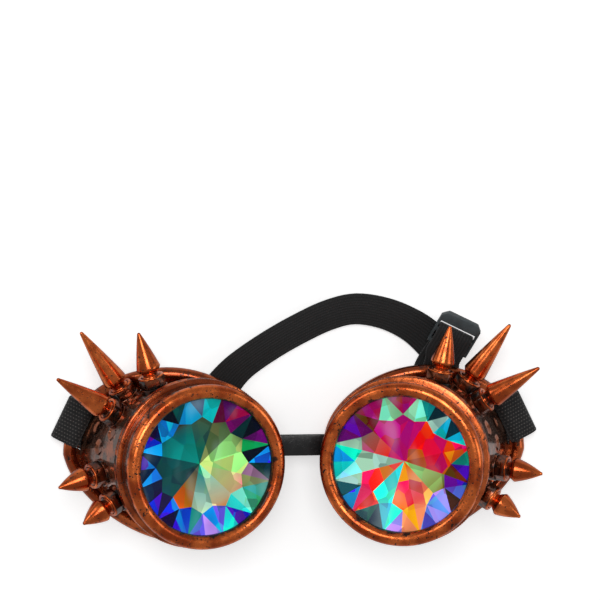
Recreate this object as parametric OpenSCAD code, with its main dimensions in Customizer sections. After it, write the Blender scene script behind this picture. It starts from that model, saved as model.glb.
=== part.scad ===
// Round-lens goggles with spiked cups and kaleidoscope lenses.
// They lie on their rear rims, lenses up. +X is to the right of someone who looks at the lenses,
// +Y is the brow side and z = 0 is the plane of the rims. Left and right are as seen from the front.

/* [Cups] */
// Half of the rear rim's width
rim_half_w = 38.7; // [37:0.1:44]
// Half of the rear rim's height
rim_half_h = 33.6; // [32.5:0.1:40]
// Distance of a rim's centre from the nose line
rim_offset = 49; // [47:0.5:56]
// Radius of the rolled bead round the rear rim
bead_r = 2.6; // [2.2:0.1:3.2]
// Thickness of the cup wall
wall = 2.2; // [1.8:0.1:2.8]
// Rise of the rim at the brow, which lets the strap out
brow_rise = 9; // [8:0.5:10]
// Cut of the rim's curve at the cheek, toward the temple
cheek_cut = 3.8; // [0:0.2:5]
// Tilt of each barrel toward the nose
toe_in = 16; // [12:1:18]

/* [Barrel] */
// Height of the bezel's centre over the rim plane
bezel_h = 38; // [36:0.5:46]
// Distance of a bezel's centre from the nose line
bezel_offset = 35.6; // [34.5:0.1:42]
// Radius of the part of the lens that shows
lens_view_r = 25; // [20:0.5:26]
// Radius of the bezel's rounded front ring, in section
bezel_tube_r = 2.65; // [2.4:0.05:3]
// Ledge of lens that is held behind the front ring
lens_ledge = 2.2; // [1.8:0.1:2.4]
// Thickness of the lens at its edge
lens_edge_t = 2.2; // [1.6:0.1:3]
// Depth of the lens's facets behind its edge
facet_depth = 5.6; // [3:0.2:7]
// Facets round the middle of the lens
facet_count = 12; // [8:1:16]
// Thickness of the rubber rings before and behind the lens
rubber_t = 0.6; // [0.4:0.1:1]
// Width of the cup's collar behind the bezel, along the barrel
collar_h = 4.5; // [3:0.5:6]

/* [Spikes] */
// Radius of a spike where its cone begins
spike_r = 4.5; // [3.5:0.1:5]
// Height of the long spikes above the cup wall
spike_long = 28.5; // [20:0.5:34]
// Height of the middle spikes above the cup wall
spike_middle = 22; // [16:0.5:26]
// Height of the short spikes above the cup wall
spike_short = 18.5; // [15:0.5:22]
// Height of the bevel under a spike's cone
shoulder_h = 2; // [1:0.2:2.6]
// Width of a spike's nut across its flats
nut_flats = 8.6; // [8:0.1:9.4]
// Height of a spike's nut
nut_h = 4.2; // [3.4:0.1:5]
// Radius of the screws that hold the spikes
screw_r = 1.5; // [1.2:0.1:1.8]

/* [Strap] */
// Width of the elastic
elastic_w = 14; // [12:0.5:15]
// Thickness of the elastic
elastic_t = 1.2; // [0.8:0.1:1.3]
// Width of the webbing loops
webbing_w = 17; // [14:0.5:18]
// Thickness of the webbing
webbing_t = 1.2; // [0.8:0.1:1.3]
// Place of the webbing loops round the rim
webbing_angle = 22.5; // [19:0.5:25]
// Thickness of the bars of the strap rings
ring_bar = 1.8; // [1.4:0.1:2]
// Thickness of the length adjuster
adjuster_t = 2.2; // [1.6:0.1:2.6]

/* [Bridge] */
// Width of the bridge strip
bridge_w = 8; // [6:0.5:10]
// Thickness of the bridge strip
bridge_t = 1.6; // [1:0.1:2.2]
// Height of the bridge strip over the rim plane
bridge_h = 12; // [10:0.5:13]
// Place of the bridge toward the brow
bridge_y = 3.8; // [0:0.2:5]

/* [Hidden] */
$fn = 96;

copper = [0.72, 0.36, 0.16];
black = [0.06, 0.06, 0.07];
crystal = [0.25, 0.65, 0.75];
rubber = [0.12, 0.12, 0.12];
steel = [0.55, 0.55, 0.56];

left = -1;
right = 1;
eps = 0.01;

// Clearances
stack_gap = 0.05;
thread_gap = 0.08;
part_gap = 0.2;
slot_gap = 0.3;

// Depths along the barrel, down from the middle of the bezel's front ring
lip_under = -0.5;
gasket_top = lip_under - stack_gap;
gasket_bottom = gasket_top - rubber_t;
lens_top = gasket_bottom - stack_gap;
lens_bottom = lens_top - lens_edge_t;
cushion_top = lens_bottom - stack_gap;
cushion_bottom = cushion_top - rubber_t;
neck_top = cushion_bottom - stack_gap;
thread_h = 4.4;
collar_top = neck_top - thread_h;
collar_bottom = collar_top - collar_h;
skirt_bottom = collar_top + part_gap;
shell_front = collar_bottom + 0.5;

// Radii about the barrel's axis
ring_mid_r = lens_view_r + bezel_tube_r;
lens_r = lens_view_r + lens_ledge;
pocket_r = lens_r + slot_gap;
neck_bore_r = lens_view_r + 0.7;
facet_r = neck_bore_r - 0.4;
neck_r = pocket_r + 0.6;
skirt_bore_r = neck_r + thread_gap;
skirt_r = skirt_bore_r + 1.5;
collar_r = skirt_r + 1.8;
shell_r = collar_r - 0.9;

// The rolled bead, the narrow land behind it and the foot of the wall
bead_w = rim_half_w - bead_r;
bead_h = rim_half_h - bead_r;
bead_sink = 0.4;
land_up = 1;
foot_out = -bead_r - 1.1;
brow_middle = 100;
brow_spread = 64;
brow_plateau = 1.6;

function from_middle(a) = abs(((a - brow_middle + 540) % 360) - 180);
function brow_share(a) = pow(min(1, from_middle(a) / brow_spread), brow_plateau);
function brow_lift(a) = brow_rise * pow(cos(90 * brow_share(a)), 2);
function cheek_in(a) = a > 270 ? cheek_cut * sin(2 * (a - 270)) : 0;
function mix(p, q, t) = p * (1 - t) + q * t;

// A point given in the barrel's frame, in the goggles' frame
function from_barrel(p) = [
    bezel_offset + p.x * cos(toe_in) - p.z * sin(toe_in),
    p.y,
    bezel_h + p.x * sin(toe_in) + p.z * cos(toe_in)
];
function front_point(a, out) = from_barrel([(shell_r + out) * cos(a), (shell_r + out) * sin(a), shell_front]);
function rim_point(a, out, up) = [
    rim_offset + (bead_w - cheek_in(a) + out) * cos(a),
    (bead_h - cheek_in(a) + out) * sin(a),
    bead_r - bead_sink + brow_lift(a) + up
];
function wall_point(a, out, t) = mix(front_point(a, out), rim_point(a, foot_out + out, land_up), t);

// One section of the cup's shell: outer wall, rolled bead, inner wall
wall_steps = [0, 0.25, 0.5, 0.75, 1];
bead_steps = [150, 115, 80, 45, 10, -25, -60, -90, -120];
function shell_section(a) = concat(
    [for (t = wall_steps) wall_point(a, 0, t)],
    [for (b = bead_steps) rim_point(a, bead_r * cos(b), bead_r * sin(b))],
    [rim_point(a, foot_out - wall, bead_sink - bead_r / 2)],
    [for (i = [len(wall_steps) - 1:-1:0]) wall_point(a, -wall, wall_steps[i])]
);

// A closed or open skin over sections that all have the same number of points
module skin(sections, closed_path) {
    n = len(sections);
    m = len(sections[0]);
    rows = closed_path ? n : n - 1;
    points = [for (s = sections) for (p = s) p];
    sides = [for (i = [0:rows - 1]) for (j = [0:m - 1]) for (half = [0, 1])
        let (k = (j + 1) % m, row = i * m, next = ((i + 1) % n) * m)
        let (a = row + j, b = row + k, c = next + k, d = next + j)
        half == 0 ? [a, c, b] : [a, d, c]];
    start = [for (j = [0:m - 1]) j];
    end = [for (j = [m - 1:-1:0]) (n - 1) * m + j];
    polyhedron(points, closed_path ? sides : concat(sides, [start, end]), convexity = 6);
}

module handed(side) {
    if (side == left) mirror([1, 0, 0]) children();
    else children();
}

module barrel() {
    translate([bezel_offset, 0, bezel_h]) rotate([0, -toe_in, 0]) children();
}

module pipe(outer_r, inner_r, low, high) {
    translate([0, 0, low]) difference() {
        cylinder(h = high - low, r = outer_r);
        translate([0, 0, -1]) cylinder(h = high - low + 2, r = inner_r);
    }
}

// Spikes: where each stands on the cup wall and which way it points
// [angle round the cup, share of the way down the wall, direction, slope, height, swell of the cone,
// turn of the direction, which differs between the cups]
spike_temple = [38, 0.36, 34.5, 20, spike_long, 0.15, 0];
spike_upper = [57, 0.66, 56, 13.5, spike_long + 2.6, 0.15, 0];
spike_brow = [69, 0.28, 77, 7.5, spike_middle, 0.15, 2.5];
spike_side = [-8, 0.42, -10.5, 25, spike_short, 0.35, 4.5];
spike_cheek = [-25, 0.19, -33, 25.5, spike_short - 1.5, 0.35, 0];
spikes = [spike_temple, spike_upper, spike_brow, spike_side, spike_cheek];
// The brow row sits a little further round on the right cup and less far on the left one
brow_row_turn = 2.7;

boss_r = 5.2;
boss_top = 1;
boss_bottom = -wall - 1.2;
recess_r = 3.7;
nut_top = boss_top + nut_h;
recess_floor = nut_top - 1.8;
bead_ring_r = recess_r - part_gap;
neck_thin_r = 2.8;
cone_base = nut_top + 1.1;
tip_r = 0.7;
hole_gap = 0.2;
thread_fit = 0.05;
screw_top = nut_top + 3.2;
screw_head_r = 2.8;
screw_head_h = 1.3;

function spike_angle(s, side) = s[0] + (s[0] > 0 ? side * brow_row_turn : 0);

module on_wall(s, side) {
    translate(wall_point((spike_angle(s, side) + 360) % 360, 0, s[1]))
        rotate([0, 90 - s[3], s[2] + side * s[6]]) children();
}

function cone_r(t, swell) = mix(spike_r, tip_r, t) + swell * 4 * t * (1 - t);
function spike_outline(height, swell) = concat(
    [[screw_r + thread_fit, recess_floor + stack_gap], [bead_ring_r - 0.4, recess_floor + stack_gap]],
    [[bead_ring_r, recess_floor + 0.5], [bead_ring_r, nut_top - 0.1], [bead_ring_r - 0.4, nut_top + 0.3]],
    [[neck_thin_r, nut_top + 0.45], [neck_thin_r, cone_base - 0.2], [neck_thin_r + 0.3, cone_base]],
    [[spike_r - 0.25, cone_base + shoulder_h - 0.4], [spike_r, cone_base + shoulder_h]],
    [for (t = [0.06:0.1175:0.9999]) [cone_r(t, swell), mix(cone_base + shoulder_h, height - tip_r, t)]],
    [for (a = [0:30:90]) [tip_r * cos(a), height - tip_r + tip_r * sin(a)]],
    [[0, screw_top + 0.6], [screw_r + thread_fit, screw_top + 0.3]]
);

module spike(s, side) {
    color(copper) handed(side) on_wall(s, side)
        rotate_extrude($fn = 48) polygon(spike_outline(s[4], s[5]));
}

module spike_nuts(side) {
    color(copper) handed(side) for (s = spikes) on_wall(s, side) difference() {
        union() {
            translate([0, 0, boss_top + stack_gap])
                cylinder(h = nut_h - 0.6, r = nut_flats / 2 / cos(30), $fn = 6);
            translate([0, 0, nut_top - 0.8]) cylinder(h = 0.8, r = nut_flats / 2 + 0.4, $fn = 48);
        }
        translate([0, 0, recess_floor]) cylinder(h = 5, r = recess_r, $fn = 48);
        cylinder(h = 20, r = screw_r + hole_gap, center = true, $fn = 48);
    }
}

module spike_screws(side) {
    color(steel) handed(side) for (s = spikes) on_wall(s, side) {
        translate([0, 0, boss_bottom - stack_gap - screw_head_h])
            cylinder(h = screw_head_h, r = screw_head_r, $fn = 48);
        translate([0, 0, boss_bottom - stack_gap - eps])
            cylinder(h = screw_top - boss_bottom, r = screw_r, $fn = 48);
    }
}

// The webbing loop's frame: u points out over the rim, v along the rim
loop_direction = atan2(bead_w * sin(webbing_angle), bead_h * cos(webbing_angle));
loop_centre = [rim_offset + bead_w * cos(webbing_angle), bead_h * sin(webbing_angle)];

module at_loop() {
    translate([loop_centre.x, loop_centre.y, 0]) rotate([0, 0, loop_direction]) children();
}

// A box given by its two corners
module box(low, high) {
    translate(low) cube(high - low);
}

floor_gap = 0.2;
layer_gap = 0.25;
bead_top = 2 * bead_r - bead_sink;
slot_u = -3.1;
slot_half_t = webbing_t / 2 + slot_gap;
slot_half_w = webbing_w / 2 + 0.4;
webbing_low = floor_gap + webbing_t / 2;
webbing_upper = webbing_low + webbing_t + layer_gap;
notch_h = webbing_low + webbing_t / 2 + slot_gap;
tunnel_h = webbing_upper + webbing_t / 2 + 2 * layer_gap;

// Shallow round dents in the cup wall: [angle round the cup, share of the way down]
dents = [[24, 0.71], [22.5, 0.28], [10, 0.5], [52, 0.3]];
dent_r = 2.7;
dent_deep = 0.7;

// The bridge strip passes the cup's wall on the nose side
head_t = 2.2;
head_w = bridge_w + 3;
head_in = 17.55;

module cup(side) {
    color(copper) handed(side) difference() {
        union() {
            skin([for (i = [0:71]) shell_section(i * 5)], true);
            barrel() translate([0, 0, collar_bottom]) cylinder(h = collar_h, r = collar_r);
            barrel() translate([0, 0, collar_bottom]) cylinder(h = neck_top - collar_bottom, r = neck_r);
            for (s = spikes) on_wall(s, side)
                translate([0, 0, boss_bottom]) cylinder(h = boss_top - boss_bottom, r = boss_r, $fn = 48);
        }
        barrel() translate([0, 0, collar_bottom - 3]) cylinder(h = 20, r = neck_bore_r);
        for (s = spikes) on_wall(s, side) {
            cylinder(h = 20, r = screw_r + hole_gap, center = true, $fn = 48);
            translate([0, 0, boss_top]) cylinder(h = 6, r = boss_r + 0.1, $fn = 48);
        }
        for (d = dents) translate(wall_point(d[0], 0, d[1])) rotate([0, 70, d[0]])
            translate([0, 0, -dent_deep]) cylinder(h = 5, r1 = dent_r, r2 = dent_r + 4, $fn = 48);
        at_loop()
            box([slot_u - slot_half_t, -slot_half_w, -1], [slot_u + slot_half_t, slot_half_w, bead_top + 1]);
        at_loop() box([-8, -slot_half_w, -1], [5, slot_half_w, notch_h]);
        at_loop() box([-8, -slot_half_w, -1], [slot_u, slot_half_w, tunnel_h]);
        box([6, bridge_y - bridge_w / 2 - slot_gap, bridge_h - bridge_t / 2 - slot_gap],
            [head_in + 1, bridge_y + bridge_w / 2 + slot_gap, bridge_h + bridge_t / 2 + slot_gap]);
        box([0, -60, -5], [120, 60, 0]);
    }
}

module bezel(side) {
    groove_w = 0.5;
    groove_deep = 0.35;
    color(copper) handed(side) barrel() difference() {
        union() {
            rotate_extrude() translate([ring_mid_r, 0]) circle(r = bezel_tube_r, $fn = 48);
            translate([0, 0, skirt_bottom]) cylinder(h = -skirt_bottom, r = skirt_r);
        }
        translate([0, 0, lip_under - 20]) cylinder(h = 20, r = pocket_r);
        translate([0, 0, lip_under - 1]) cylinder(h = 20, r = lens_view_r);
        translate([0, 0, neck_top + part_gap - 20]) cylinder(h = 20, r = skirt_bore_r);
        for (z = [-bezel_tube_r - 0.9, skirt_bottom + 1.2])
            pipe(skirt_r + 1, skirt_r - groove_deep, z - groove_w / 2, z + groove_w / 2);
    }
}

module front_gasket(side) {
    color(rubber) handed(side) barrel() pipe(lens_r, lens_view_r + 0.4, gasket_bottom, gasket_top);
}

module lens_cushion(side) {
    color(rubber) handed(side) barrel() pipe(lens_r, neck_bore_r, cushion_bottom, cushion_top);
}

// The back of the crystal: a star of kites round the middle, kites between the star's points, then
// triangles out to the edge. The rises keep each kite flat.
star_side = 0.65;
star_tip = 0.75;
kite_x = cos(180 / facet_count);
tip_rise = star_tip / (star_side * kite_x);
edge_rise = 1 + (tip_rise - 1) * (1 - star_side) / (star_tip * kite_x - star_side);

function facet_ring(share, rise, turn) = [
    for (i = [0:facet_count - 1])
        let (a = (i + turn) * 360 / facet_count, r = facet_r * share)
        [r * cos(a), r * sin(a), lens_bottom + eps - facet_depth * (1 - rise / edge_rise)]];
module lens(side) {
    n = facet_count;
    middle = [[0, 0, lens_bottom + eps - facet_depth]];
    points = concat(middle, facet_ring(star_side, 1, 0.5), facet_ring(star_tip, tip_rise, 0),
        facet_ring(1, edge_rise, 0.5));
    faces = [for (i = [0:n - 1]) let (
        next = (i + 1) % n,
        side_1 = 1 + i, side_2 = 1 + next, tip_1 = 1 + n + i, tip_2 = 1 + n + next,
        edge_1 = 1 + 2 * n + i, edge_2 = 1 + 2 * n + next
    ) each [[0, side_1, tip_2, side_2], [side_1, tip_1, edge_1, tip_2], [tip_2, edge_1, edge_2]]];
    lid = [[for (i = [n - 1:-1:0]) 1 + 2 * n + i]];
    color(crystal) handed(side) barrel() union() {
        polyhedron(points, concat(faces, lid), convexity = 4);
        translate([0, 0, lens_bottom]) cylinder(h = lens_edge_t - 0.3, r = lens_r);
        translate([0, 0, lens_top - 0.3 - eps]) cylinder(h = 0.3 + eps, r1 = lens_r, r2 = lens_r - 0.3);
    }
}

// A flat band along a path: each stop is [centre, direction of the width, lean of the width]
function width_way(stop) = [cos(stop[1]) * cos(stop[2]), sin(stop[1]) * cos(stop[2]), sin(stop[2])];
function band_section(stops, i, w, t, closed_path) = let (
    n = len(stops),
    before = closed_path ? stops[(i + n - 1) % n] : stops[max(0, i - 1)],
    after = closed_path ? stops[(i + 1) % n] : stops[min(n - 1, i + 1)],
    along = after[0] - before[0],
    across = width_way(stops[i]),
    up = cross(along, across) / norm(cross(along, across)),
    p = stops[i][0]
) [
    p - across * w / 2 - up * t / 2,
    p + across * w / 2 - up * t / 2,
    p + across * w / 2 + up * t / 2,
    p - across * w / 2 + up * t / 2
];
module band(stops, w, t, closed_path = false) {
    skin([for (i = [0:len(stops) - 1]) band_section(stops, i, w, t, closed_path)], closed_path);
}

// A smooth path through the stops, with extra stops between them
function curve_mix(a, b, c, d, t) = 0.5 * (2 * b + (c - a) * t + (2 * a - 5 * b + 4 * c - d) * t * t
    + (3 * b - a - 3 * c + d) * t * t * t);
function stop_mix(stops, i, t) = let (
    n = len(stops),
    a = stops[max(0, i - 1)], b = stops[i], c = stops[min(n - 1, i + 1)], d = stops[min(n - 1, i + 2)]
) [for (k = [0:2]) curve_mix(a[k], b[k], c[k], d[k], t)];
function smooth(stops) = concat(
    [for (i = [0:len(stops) - 2]) for (t = [0, 0.5]) stop_mix(stops, i, t)], [stops[len(stops) - 1]]);

ring_outer_u = -10.4;
ring_d = 8.9;
ring_half_w = slot_half_w + 1.4;
turn_r = ring_bar / sqrt(2) + elastic_t / 2 + layer_gap;
low_run = floor_gap + elastic_t / 2;
high_run = low_run + elastic_t + 0.35;
ring_mid = low_run + turn_r;
ring_low = ring_mid - ring_bar / 2;
webbing_over = ring_low + ring_bar + layer_gap + webbing_t / 2;

// The webbing loop goes under the rim, up outside it, down through the slot behind the bead,
// back under the wall and round the ring's outer bar
webbing_route = [
    [-7.5, webbing_low], [-3.5, webbing_low], [0, webbing_low], [3.6, webbing_low], [5.6, webbing_low + 0.8],
    [6.4, webbing_low + 2.3], [5.8, bead_top - 0.2], [4, bead_top + 0.8], [1.5, bead_top + 1.2],
    [-0.8, bead_top + 1.55], [-2.5, bead_top + 1.05], [slot_u - 0.05, bead_top - 0.6],
    [slot_u - 0.2, webbing_upper + 0.7],
    [-4.4, webbing_upper], [-7.6, webbing_upper], [-9.4, webbing_over - 0.55], [-10.8, webbing_over + 0.1],
    [-12.7, webbing_over - 0.1], [-13.7, ring_mid], [-13, webbing_low + 0.6], [-11.4, webbing_low]
];
module webbing_loop(side) {
    color(black) handed(side) at_loop()
        band([for (p = webbing_route) [[p[0], 0, p[1]], 90, 0]], webbing_w, webbing_t, true);
}

module strap_ring(side) {
    inner = slot_half_w;
    chamfer = 1.8;
    u0 = ring_outer_u - ring_d;
    u1 = ring_outer_u;
    color(black) handed(side) at_loop() translate([0, 0, ring_low]) difference() {
        linear_extrude(ring_bar) polygon([
            [u0 + chamfer, -ring_half_w], [u1 - chamfer, -ring_half_w], [u1, -ring_half_w + chamfer],
            [u1, ring_half_w - chamfer], [u1 - chamfer, ring_half_w], [u0 + chamfer, ring_half_w],
            [u0, ring_half_w - chamfer], [u0, -ring_half_w + chamfer]
        ]);
        box([u0 + ring_bar, -inner, -1], [u1 - ring_bar, inner, ring_bar + 1]);
    }
}

// The elastic's turn round the inner bar of a ring, from above the bar to below it: [u, z]
bar_u = ring_outer_u - ring_d + ring_bar / 2;
function ring_turn(side, steps) = [for (a = steps) [
    [side * (loop_centre.x + (bar_u + turn_r * cos(a)) * cos(loop_direction)),
        loop_centre.y + (bar_u + turn_r * cos(a)) * sin(loop_direction), ring_mid + turn_r * sin(a)],
    side == left ? 90 - loop_direction : 90 + loop_direction, 0]];
function ring_run(side, u, z) = [
    [side * (loop_centre.x + u * cos(loop_direction)), loop_centre.y + u * sin(loop_direction), z],
    side == left ? 90 - loop_direction : 90 + loop_direction, 0];

// The adjuster's place, and the way that the doubled elastic climbs to it
adjuster_at = [58.9, 44.4, 11.4];
adjuster_turn = -26;
adjuster_climb = 25;
function at_adjuster(along, off) = adjuster_at + along * [
    -sin(adjuster_turn) * cos(adjuster_climb), cos(adjuster_turn) * cos(adjuster_climb), sin(adjuster_climb)]
    + off * [sin(adjuster_turn) * sin(adjuster_climb), -cos(adjuster_turn) * sin(adjuster_climb),
        cos(adjuster_climb)];
over_bar = adjuster_t / 2 + elastic_t / 2 + part_gap;

// The elastic's route: sewn end on the left ring, under the left brow, the arch beyond the cups,
// under the right brow, round the right ring, back on itself, up behind the adjuster, through its
// upper slot and down in front of it to the free end
strap_stops = concat(
    [for (end = [[9, 0], [6, 0.6], [3, 1.7]]) ring_run(left, bar_u - end[0], high_run + end[1])],
    ring_turn(left, [90, 45, 0, -45, -90]),
    [ring_run(left, bar_u - 3, low_run)],
    [
        [[-59.5, 1.8, low_run], 68, 0], [[-54, 0.2, low_run], 90, 0], [[-47, 2.8, 1], 115, 1],
        [[-40.5, 8, 1.1], 132, 2], [[-35, 14.5, 1.3], 141, 4], [[-30.5, 21, 2], 145, 9],
        [[-26.5, 27, 3.2], 143, 18], [[-20.4, 33.4, 4.4], 132, 27], [[-9.5, 40.9, 4.8], 122, 29],
        [[1.8, 47.2, 4.8], 117, 29], [[12.4, 52, 4.8], 109, 29], [[22.5, 54.2, 4.8], 92, 29],
        [[33.6, 52.4, 4.8], 74, 29], [[43.2, 48.1, 4.3], 60, 25], [[50, 43, 2.9], 46, 14],
        [[54.4, 37.7, 1.6], 26, 6], [[55.6, 31.5, 1.1], 2, 2], [[54.4, 25, low_run], -12, 0],
        [[52, 18, low_run], -12, 0], [[52, 11.6, low_run], 18, 0], [[55.4, 6.6, low_run], 50, 0],
        [[61, 4, low_run], 88, 0]
    ],
    ring_turn(right, [-90, -45, 0, 45, 90]),
    [ring_run(right, bar_u - 3, high_run + 1.7)],
    [
        [[59, 4, high_run], 84, 0], [[53.4, 6.8, high_run], 46, 0], [[50.2, 12, high_run], 14, 0],
        [[49.8, 18.5, high_run], -6, 0], [[50.6, 25, high_run + 0.1], -14, 0],
        [[52.2, 31.5, high_run + 0.6], -20, 0]
    ],
    [
        [at_adjuster(-8.5, -over_bar - 0.3), adjuster_turn, 0],
        [at_adjuster(-4, -over_bar), adjuster_turn, 0],
        [at_adjuster(0, -over_bar), adjuster_turn, 0], [at_adjuster(1.7, 0.5 - over_bar), adjuster_turn, 0],
        [at_adjuster(2.2, 0), adjuster_turn, 0], [at_adjuster(1.7, over_bar - 0.5), adjuster_turn, 0],
        [at_adjuster(0, over_bar), adjuster_turn, 0], [at_adjuster(-4, over_bar), adjuster_turn, 0],
        [at_adjuster(-8.5, over_bar + 0.2), adjuster_turn, 0]
    ],
    [
        [[54.9, 33, 6.9], -22, -10], [[54.2, 29.5, 5.1], -18, -6], [[53.4, 25, 4.3], -14, 0],
        [[52.8, 20, 4.2], -12, 0]
    ]
);

module elastic_strap() {
    color(black) band(smooth(strap_stops), elastic_w, elastic_t);
}

// A frame with two slots: a thin lower bar, the middle bar and a broad upper bar
module strap_adjuster() {
    half_l = elastic_w / 2 + 1.2;
    slot_half = elastic_w / 2 + slot_gap;
    low = -6;
    high = 8.4;
    chamfer = 2.2;
    color(black) translate(adjuster_at) rotate([0, 0, adjuster_turn]) rotate([adjuster_climb, 0, 0])
        translate([0, 0, -adjuster_t / 2]) difference() {
            linear_extrude(adjuster_t) polygon([
                [-half_l, low], [half_l, low], [half_l, high - chamfer], [half_l - chamfer, high],
                [chamfer - half_l, high], [-half_l, high - chamfer]
            ]);
            box([-slot_half, -4.5, -1], [slot_half, -0.9, adjuster_t + 1]);
            box([-slot_half, 0.9, -1], [slot_half, 3.9, adjuster_t + 1]);
        }
}

module nose_bridge() {
    head_out = head_in + head_t;
    color(black) union() {
        box([-head_out, bridge_y - bridge_w / 2, bridge_h - bridge_t / 2],
            [head_out, bridge_y + bridge_w / 2, bridge_h + bridge_t / 2]);
        for (x = [-head_out, head_in])
            box(
                [x, bridge_y - head_w / 2, bridge_h - bridge_t],
                [x + head_t, bridge_y + head_w / 2, bridge_h + bridge_t]);
    }
}

cup(left);  // left_cup
bezel(left);  // left_bezel
front_gasket(left);  // left_front_gasket
lens(left);  // left_lens
lens_cushion(left);  // left_lens_cushion
spike(spike_temple, left);  // left_spike_temple
spike(spike_upper, left);  // left_spike_upper
spike(spike_brow, left);  // left_spike_brow
spike(spike_side, left);  // left_spike_side
spike(spike_cheek, left);  // left_spike_cheek
spike_nuts(left);  // left_spike_nuts
spike_screws(left);  // left_spike_screws
webbing_loop(left);  // left_webbing_loop
strap_ring(left);  // left_strap_ring
cup(right);  // right_cup
bezel(right);  // right_bezel
front_gasket(right);  // right_front_gasket
lens(right);  // right_lens
lens_cushion(right);  // right_lens_cushion
spike(spike_temple, right);  // right_spike_temple
spike(spike_upper, right);  // right_spike_upper
spike(spike_brow, right);  // right_spike_brow
spike(spike_side, right);  // right_spike_side
spike(spike_cheek, right);  // right_spike_cheek
spike_nuts(right);  // right_spike_nuts
spike_screws(right);  // right_spike_screws
webbing_loop(right);  // right_webbing_loop
strap_ring(right);  // right_strap_ring
nose_bridge();
elastic_strap();
strap_adjuster();
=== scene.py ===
# Round goggles with spiked copper cups and kaleidoscope crystals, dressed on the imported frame.
# They lie on their rear rims, lenses up, with +Y toward the brow. Lengths below are millimetres.
import math
import bpy
import numpy as np
from mathutils import Matrix, Vector


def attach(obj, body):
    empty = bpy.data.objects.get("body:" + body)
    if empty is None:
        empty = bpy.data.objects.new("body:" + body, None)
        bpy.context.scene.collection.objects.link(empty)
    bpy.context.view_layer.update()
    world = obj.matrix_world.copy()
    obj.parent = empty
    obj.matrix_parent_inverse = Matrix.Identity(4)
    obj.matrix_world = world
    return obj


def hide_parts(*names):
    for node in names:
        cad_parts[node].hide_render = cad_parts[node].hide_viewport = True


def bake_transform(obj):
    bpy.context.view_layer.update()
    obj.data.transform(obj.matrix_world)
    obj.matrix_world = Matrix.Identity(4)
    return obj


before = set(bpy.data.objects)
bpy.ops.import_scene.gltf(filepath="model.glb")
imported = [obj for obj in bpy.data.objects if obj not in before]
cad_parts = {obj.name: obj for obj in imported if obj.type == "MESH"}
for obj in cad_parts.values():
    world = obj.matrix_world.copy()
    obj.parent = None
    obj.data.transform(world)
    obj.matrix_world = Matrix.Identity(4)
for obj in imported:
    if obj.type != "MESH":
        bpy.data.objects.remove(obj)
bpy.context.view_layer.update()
mm = 0.001
sideSign = {"left": -1, "right": 1}
print("frame loaded")


# Small modelling tools

def only(obj):
    bpy.ops.object.select_all(action="DESELECT")
    obj.select_set(True)
    bpy.context.view_layer.objects.active = obj


def edit(obj):
    only(obj)
    bpy.ops.object.mode_set(mode="EDIT")
    bpy.ops.mesh.select_all(action="SELECT")


def leave():
    bpy.ops.object.mode_set(mode="OBJECT")


def closeUp(obj):
    edit(obj)
    bpy.ops.mesh.remove_doubles(threshold=0.002 * mm)
    bpy.ops.mesh.normals_make_consistent(inside=False)
    leave()


def smooth(obj, angle=35):
    only(obj)
    bpy.ops.object.shade_smooth_by_angle(angle=math.radians(angle))


def apply(obj, kind, **settings):
    only(obj)
    modifier = obj.modifiers.new(kind.title(), kind)
    for key, value in settings.items():
        setattr(modifier, key, value)
    bpy.ops.object.modifier_apply(modifier=modifier.name)


def place(obj, matrix):
    only(obj)
    obj.matrix_world = matrix
    bpy.ops.object.transform_apply(location=True, rotation=True, scale=True)


def copyOf(obj, name):
    other = obj.copy()
    other.data = obj.data.copy()
    other.name = name
    bpy.context.collection.objects.link(other)
    return other


def joined(parts, name):
    bpy.ops.object.select_all(action="DESELECT")
    for part in parts:
        part.select_set(True)
    bpy.context.view_layer.objects.active = parts[0]
    bpy.ops.object.join()
    parts[0].name = name
    return parts[0]


def paint(obj, name, share):
    # A value for each point, worked out from its place in millimetres
    layer = obj.data.attributes.new(name, "FLOAT", "POINT")
    layer.data.foreach_set("value", [share(v.co / mm) for v in obj.data.vertices])


def primitive(kind, name, **settings):
    bpy.ops.object.select_all(action="DESELECT")
    getattr(bpy.ops.mesh, "primitive_" + kind + "_add")(**settings)
    obj = bpy.context.object
    obj.name = name
    return obj


def turned(name, outline, steps=64):
    # One point is extruded along the outline and then spun round the Z axis
    obj = primitive("plane", name, size=mm)
    edit(obj)
    bpy.ops.mesh.merge(type="CENTER")
    path = [Vector((r * mm, 0, z * mm)) for r, z in outline]
    bpy.ops.transform.translate(value=path[0])
    for last, point in zip(path, path[1:]):
        bpy.ops.mesh.extrude_region_move(TRANSFORM_OT_translate={"value": point - last})
    bpy.ops.mesh.select_all(action="SELECT")
    bpy.ops.mesh.spin(steps=steps, angle=math.tau, center=(0, 0, 0), axis=(0, 0, 1))
    leave()
    closeUp(obj)
    return obj


def rolled(name, rows, along, across):
    # A grid moved to the rows' places, with its seams closed and its UV map in metres
    obj = primitive("grid", name, x_subdivisions=len(rows) - 1, y_subdivisions=len(rows[0]) - 1)
    places = np.array(rows, dtype=float).transpose(1, 0, 2) * mm
    obj.data.vertices.foreach_set("co", places.ravel())
    corners = np.zeros(len(obj.data.loops), dtype=int)
    obj.data.loops.foreach_get("vertex_index", corners)
    uv = np.stack([np.array(along)[corners % len(rows)], np.array(across)[corners // len(rows)]], axis=1)
    obj.data.uv_layers[0].data.foreach_set("uv", (uv * mm).ravel())
    closeUp(obj)
    return obj


def closeEnds(rows):
    # Each end is drawn in to a blunt edge and closed
    for end in (0, -1):
        middle = sum(rows[end][:-1], Vector()) / (len(rows[end]) - 1)
        rows.insert(0 if end == 0 else len(rows), [middle] * len(rows[end]))


def dress(obj, *materials):
    for material in materials:
        obj.data.materials.append(material)


def finishPiece(obj, body, slot, *nodes):
    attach(obj, body)
    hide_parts(*nodes)


# Small material tools

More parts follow.
